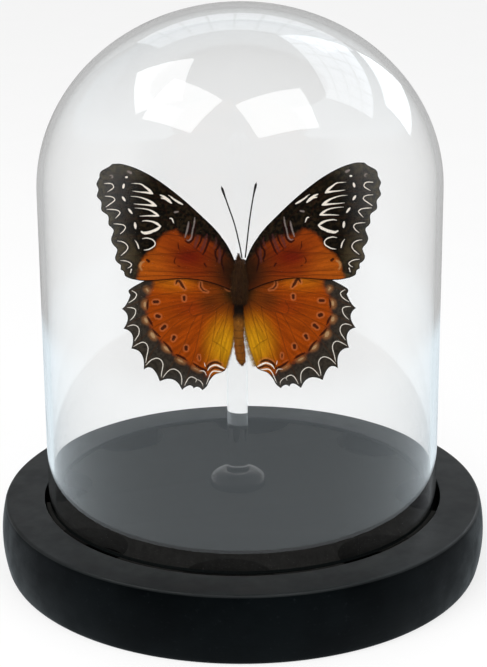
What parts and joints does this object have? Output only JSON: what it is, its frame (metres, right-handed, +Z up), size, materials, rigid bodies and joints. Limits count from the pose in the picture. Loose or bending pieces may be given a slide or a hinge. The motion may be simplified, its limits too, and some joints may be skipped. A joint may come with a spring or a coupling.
{
  "type": "butterfly dome display",
  "caption": "Set butterfly with open wings on a clear rod and foot, under a round-topped clear glass dome on a round black wooden base.",
  "frame": {"origin": "centre of the base's underside", "axes": "+Z up through the dome's top; the butterfly's upper side faces -Y and its left wings are on the -X side"},
  "size_m": [0.1516, 0.1516, 0.1722],
  "materials": {
    "black_wood": "black paint, satin",
    "dark_deck": "black-brown stain, matt, faintly speckled",
    "dome_glass": "clear, gloss",
    "clear_acrylic": "clear, gloss",
    "clear_glue": "clear, gloss",
    "insect_body": "dry, hairy, dark brown",
    "forewing_scales": "dry scales, orange-red with black and white marks",
    "hindwing_scales": "dry scales, orange with a dark lace edge"
  },
  "bodies": {
    "root": {"base": "black_wood", "deck": "dark_deck", "glass_dome": "dome_glass", "rod_foot": "clear_acrylic", "rod": "clear_acrylic", "glue_dab": "clear_glue", "body": "insect_body", "antenna_left": "insect_body", "antenna_right": "insect_body", "forewing_left": "forewing_scales", "forewing_right": "forewing_scales", "hindwing_left": "hindwing_scales", "hindwing_right": "hindwing_scales"}
  },
  "joints": []
}
